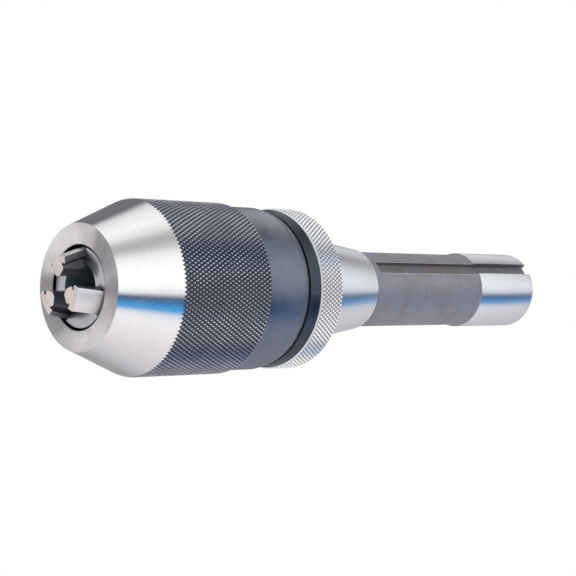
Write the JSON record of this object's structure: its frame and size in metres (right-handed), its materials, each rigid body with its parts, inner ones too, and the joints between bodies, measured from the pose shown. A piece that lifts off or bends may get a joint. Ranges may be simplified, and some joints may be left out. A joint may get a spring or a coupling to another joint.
{
  "type": "keyless drill chuck",
  "caption": "Keyless drill chuck on an integral tapered milling shank: a knurled sleeve turns to close sloping jaws on a tool, with a bright knurled holding collar behind it.",
  "frame": {"origin": "centre of the gauge line of the R8 shank, where its taper is 31.75 mm across; the spindle of the machine holds the part here", "axes": "+Z along the axis from the nose towards the end of the shank; the chuck hangs nose down; one jaw lies on the -X side"},
  "size_m": [0.0486, 0.0486, 0.1868],
  "materials": {
    "ground_steel": "cylindrically ground bright steel, fine circumferential grain; relief between taper and pilot dulled blue-grey",
    "bright_knurl": "bright steel, fine diamond knurl with turned chamfers",
    "black_ring": "black oxide on turned steel",
    "race_steel": "hardened and ground",
    "sleeve_black": "black oxide over a fine diamond knurl; nose cone and nose ring ground bright",
    "rear_black": "smooth black oxide with light handling wear",
    "guide_steel": "bright turned steel",
    "cage_brass": "plain machined",
    "ball_steel": "polished bearing steel",
    "screw_steel": "hardened steel, oiled",
    "jaw_steel": "hardened steel, ground end and outer faces"
  },
  "bodies": {
    "shank": {"shank_body": "ground_steel", "knurled_collar": "bright_knurl", "dust_ring": "black_ring", "front_race": "race_steel"},
    "sleeve": {"knurled_sleeve": "sleeve_black", "rear_sleeve": "rear_black", "rear_race": "race_steel", "jaw_guide": "guide_steel"},
    "ball_ring": {"ball_cage": "cage_brass", "ball_01": "ball_steel", "ball_02": "ball_steel", "ball_03": "ball_steel", "ball_04": "ball_steel", "ball_05": "ball_steel", "ball_06": "ball_steel", "ball_07": "ball_steel", "ball_08": "ball_steel", "ball_09": "ball_steel", "ball_10": "ball_steel", "ball_11": "ball_steel", "ball_12": "ball_steel"},
    "spindle": {"spindle_screw": "screw_steel"},
    "jaw_1": {"jaw_1": "jaw_steel"},
    "jaw_2": {"jaw_2": "jaw_steel"},
    "jaw_3": {"jaw_3": "jaw_steel"}
  },
  "joints": [
    {"name": "sleeve_turn", "type": "hinge", "parent": "shank", "child": "sleeve", "pos_m": [0, 0, -0.0223], "axis": [0, 0, 1], "range_deg": [-1330, 950]},
    {"name": "cage_turn", "type": "hinge", "parent": "shank", "child": "ball_ring", "pos_m": [0, 0, -0.0223], "axis": [0, 0, 1], "range_deg": [-670, 480]},
    {"name": "spindle_slide", "type": "slide", "parent": "sleeve", "child": "spindle", "axis": [0, 0, -1], "range_m": [-0.0111, 0.008]},
    {"name": "jaw_1_slide", "type": "slide", "parent": "sleeve", "child": "jaw_1", "axis": [0.3007, 0, -0.9537], "range_m": [-0.01165, 0.00835]},
    {"name": "jaw_2_slide", "type": "slide", "parent": "sleeve", "child": "jaw_2", "axis": [-0.1504, -0.2604, -0.9537], "range_m": [-0.01165, 0.00835]},
    {"name": "jaw_3_slide", "type": "slide", "parent": "sleeve", "child": "jaw_3", "axis": [-0.1504, 0.2604, -0.9537], "range_m": [-0.01165, 0.00835]}
  ],
  "couplings": [
    {"joint": "cage_turn", "follows": "sleeve_turn", "ratio": 0.5},
    {"joint": "spindle_slide", "follows": "sleeve_turn", "m_per_rad": 0.00047746},
    {"joint": "jaw_1_slide", "follows": "sleeve_turn", "m_per_rad": 0.00050064},
    {"joint": "jaw_2_slide", "follows": "sleeve_turn", "m_per_rad": 0.00050064},
    {"joint": "jaw_3_slide", "follows": "sleeve_turn", "m_per_rad": 0.00050064}
  ]
}
